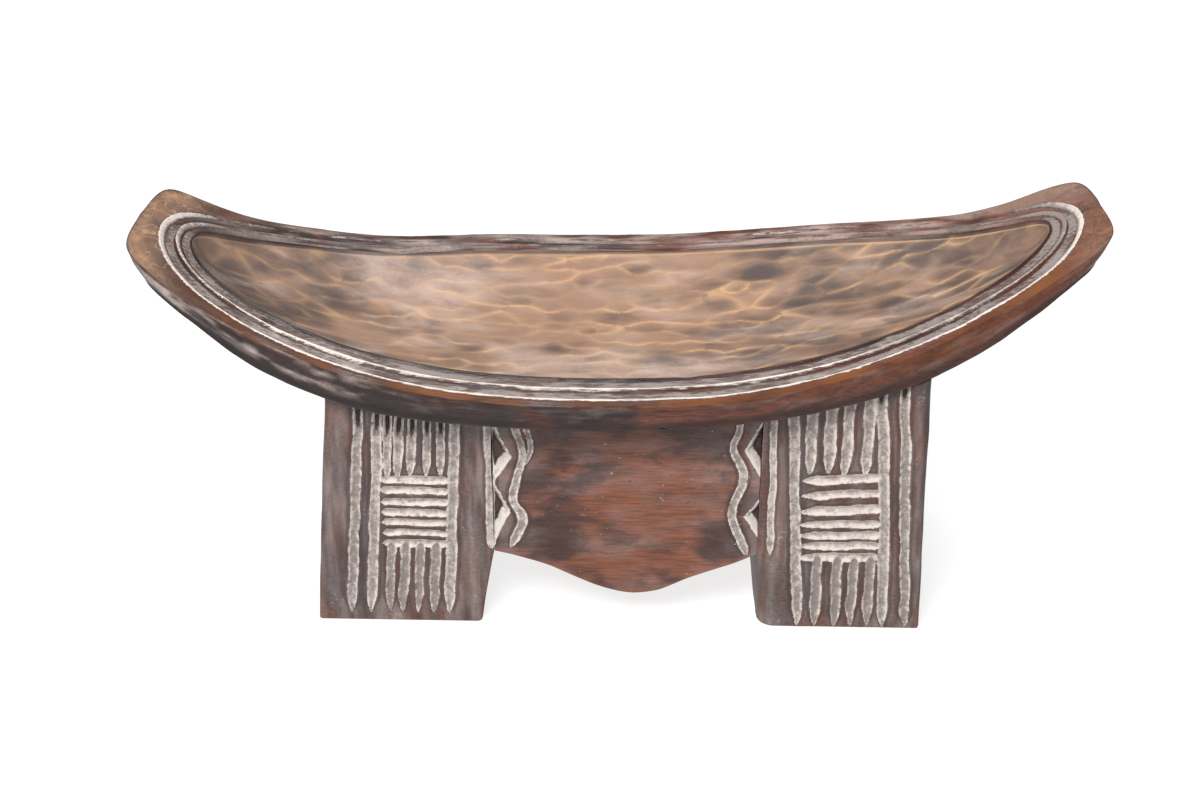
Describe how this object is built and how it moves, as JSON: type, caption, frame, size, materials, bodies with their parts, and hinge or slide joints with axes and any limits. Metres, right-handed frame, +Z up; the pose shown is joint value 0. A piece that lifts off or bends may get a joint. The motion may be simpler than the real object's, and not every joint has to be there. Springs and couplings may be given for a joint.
{
  "type": "headrest",
  "caption": "Carved wooden headrest: a boat-shaped dished rest curving up at both ends, on splayed legs with an ogee centre panel and carved lines filled with white clay.",
  "frame": {"origin": "middle of the footprint, on the plane under the feet", "axes": "+X along the rest, +Y from front to back, +Z up"},
  "size_m": [0.3656, 0.1288, 0.162],
  "materials": {
    "dish_wood": "satin, worn by use",
    "leg_wood": "dry, dusty, tool-marked",
    "panel_wood": "smooth, dull red-brown",
    "white_clay": "chalky white clay rubbed into carved lines"
  },
  "bodies": {
    "root": {"rest": "dish_wood", "left_leg": "leg_wood", "right_leg": "leg_wood", "centre_panel": "panel_wood", "inner_rim_clay": "white_clay", "left_edge_clay_back": "white_clay", "left_edge_clay_front": "white_clay", "left_ladder_clay_back": "white_clay", "left_ladder_clay_front": "white_clay", "left_teeth_clay_back": "white_clay", "left_teeth_clay_front": "white_clay", "left_wave_clay_back": "white_clay", "left_wave_clay_front": "white_clay", "outer_rim_clay": "white_clay", "right_edge_clay_back": "white_clay", "right_edge_clay_front": "white_clay", "right_ladder_clay_back": "white_clay", "right_ladder_clay_front": "white_clay", "right_teeth_clay_back": "white_clay", "right_teeth_clay_front": "white_clay", "right_wave_clay_back": "white_clay", "right_wave_clay_front": "white_clay"}
  },
  "joints": []
}
